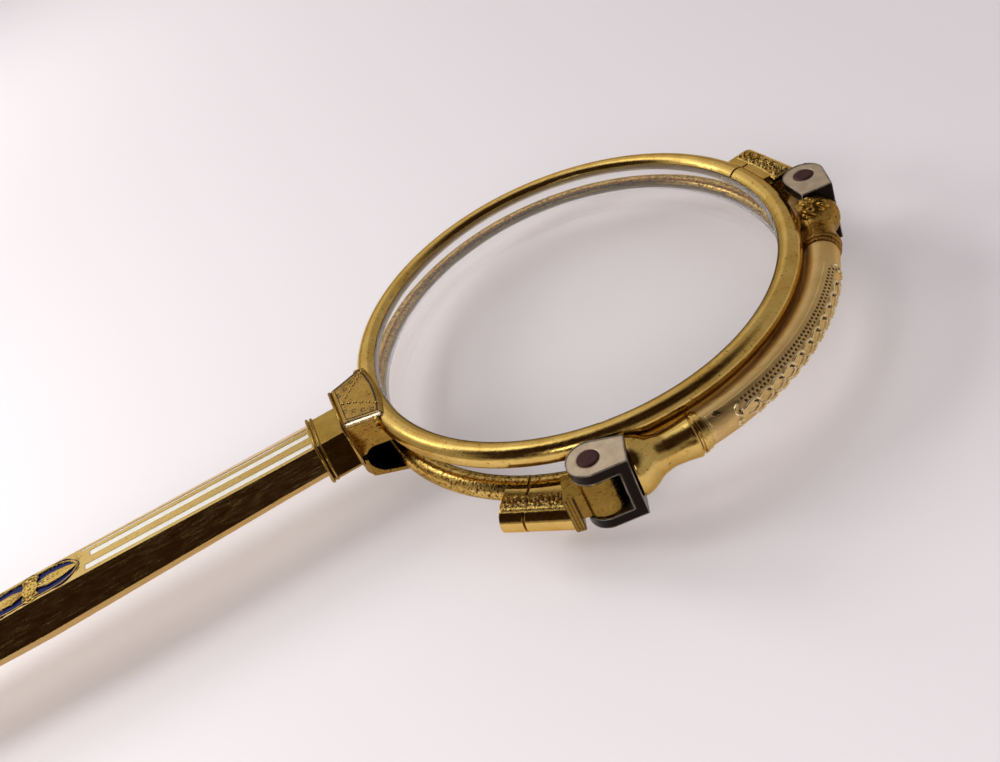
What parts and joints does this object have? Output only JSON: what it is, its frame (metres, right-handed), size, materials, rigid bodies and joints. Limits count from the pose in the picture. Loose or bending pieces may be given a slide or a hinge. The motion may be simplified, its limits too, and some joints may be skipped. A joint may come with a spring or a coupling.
{
  "type": "folding lorgnette eyeglasses",
  "caption": "Folding lorgnette: two round lenses in split wire rims, hinged through a curved tubular bridge and folded on each other, on a flat striped enamelled handle with a suspension eye.",
  "frame": {"origin": "centre of the suspension eye's bore at the handle's end", "axes": "+X along the handle towards the lenses, +Y across the handle along the suspension eye's bore, +Z along the lens normal, towards the side of the front rim and the enamelled face"},
  "size_m": [0.1178, 0.0432, 0.0068],
  "materials": {
    "handle_gold": "gold plated brass, polished, finely scratched",
    "ferrule_gold": "gold plated brass, moulded",
    "tail_gold": "gold plated brass, turned",
    "saddle_gold": "gold plated brass, worn at the edges",
    "plate_gold": "gold plated brass, chased, worn to grey at the edges",
    "ornament_gold": "gold plated brass, chased",
    "rim_gold": "gold plated brass wire, polished and scratched",
    "knuckle_gold": "gold plated brass, fluted",
    "barrel_gold": "gold plated brass, polished, with a chased band",
    "spool_gold": "gold plated brass, turned",
    "tube_gold": "gold plated brass tube, polished, with an engraved band",
    "clevis_steel": "bare steel, ground on top, blackened on its sides",
    "rivet_steel": "steel rivet, browned",
    "screw_steel": "steel screw",
    "white_enamel": "opaque white enamel",
    "navy_enamel": "opaque dark blue enamel",
    "lens_glass": "clear crown glass"
  },
  "bodies": {
    "handle": {"handle_shell": "handle_gold", "stripe_enamel": "white_enamel", "medallion_enamel": "navy_enamel", "medallion_ornament": "ornament_gold", "ferrule": "ferrule_gold", "tail_ferrule": "tail_gold", "pommel": "tail_gold", "suspension_eye": "tail_gold", "saddle_block": "saddle_gold", "thumb_plate": "plate_gold", "front_rim": "rim_gold", "front_lens": "lens_glass", "front_knuckle": "knuckle_gold", "front_barrel_long": "barrel_gold", "front_barrel_short": "barrel_gold", "front_closing_screw": "screw_steel"},
    "bridge": {"front_clevis": "clevis_steel", "front_hinge_pin": "rivet_steel", "front_spool": "spool_gold", "bridge_tube": "tube_gold", "rear_spool": "spool_gold", "rear_clevis": "clevis_steel", "rear_hinge_pin": "rivet_steel"},
    "rear_eyepiece": {"rear_rim": "rim_gold", "rear_lens": "lens_glass", "rear_knuckle": "knuckle_gold", "rear_barrel_long": "barrel_gold", "rear_barrel_short": "barrel_gold", "rear_closing_screw": "screw_steel", "rear_catch": "saddle_gold"}
  },
  "joints": [
    {"name": "bridge_hinge", "type": "hinge", "parent": "handle", "child": "bridge", "pos_m": [0.11376, -0.00384, -0.00015], "axis": [0, 0, 1], "range_deg": [0, 91]},
    {"name": "rear_lens_hinge", "type": "hinge", "parent": "bridge", "child": "rear_eyepiece", "pos_m": [0.0848, -0.0209, -0.00015], "axis": [0, 0, 1], "range_deg": [0, 91]}
  ],
  "couplings": [
    {"joint": "rear_lens_hinge", "follows": "bridge_hinge", "ratio": 1}
  ]
}
